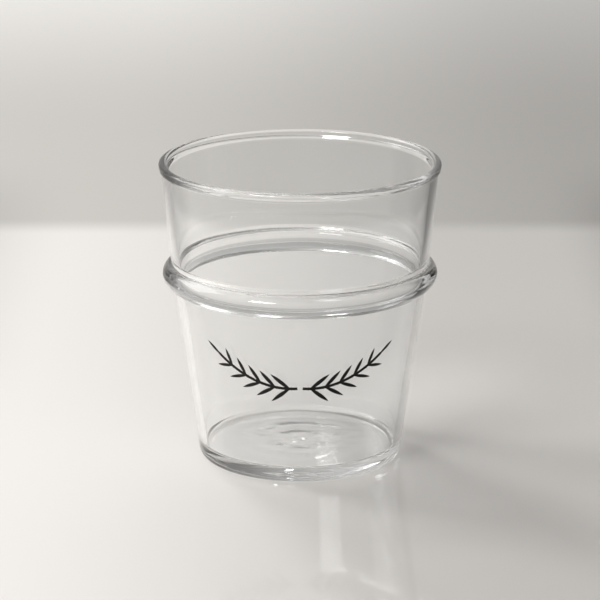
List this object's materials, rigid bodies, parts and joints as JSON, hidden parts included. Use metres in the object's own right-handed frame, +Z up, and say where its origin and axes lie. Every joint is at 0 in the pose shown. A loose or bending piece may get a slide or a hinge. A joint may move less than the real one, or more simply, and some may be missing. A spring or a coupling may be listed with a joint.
{
  "type": "drinking glass",
  "caption": "Clear stackable tumbler: a tapered cup, a round bead that seats on the rim of the glass below, a wider collar and a rounded lip, with a black printed leaf sprig.",
  "frame": {"origin": "centre of the circle on which the foot stands, on the axis of the glass", "axes": "+Z up along the axis of the glass, -Y towards the printed front, +X to the right as the print is seen"},
  "size_m": [0.088, 0.088, 0.0948],
  "materials": {
    "glass": "clear, fire-polished",
    "enamel": "black fired ceramic enamel, satin"
  },
  "bodies": {
    "root": {"base_disc": "glass", "lower_wall": "glass", "stacking_ring": "glass", "upper_collar": "glass", "lip_bead": "glass", "printed_sprig_left": "enamel", "printed_sprig_right": "enamel"}
  },
  "joints": []
}
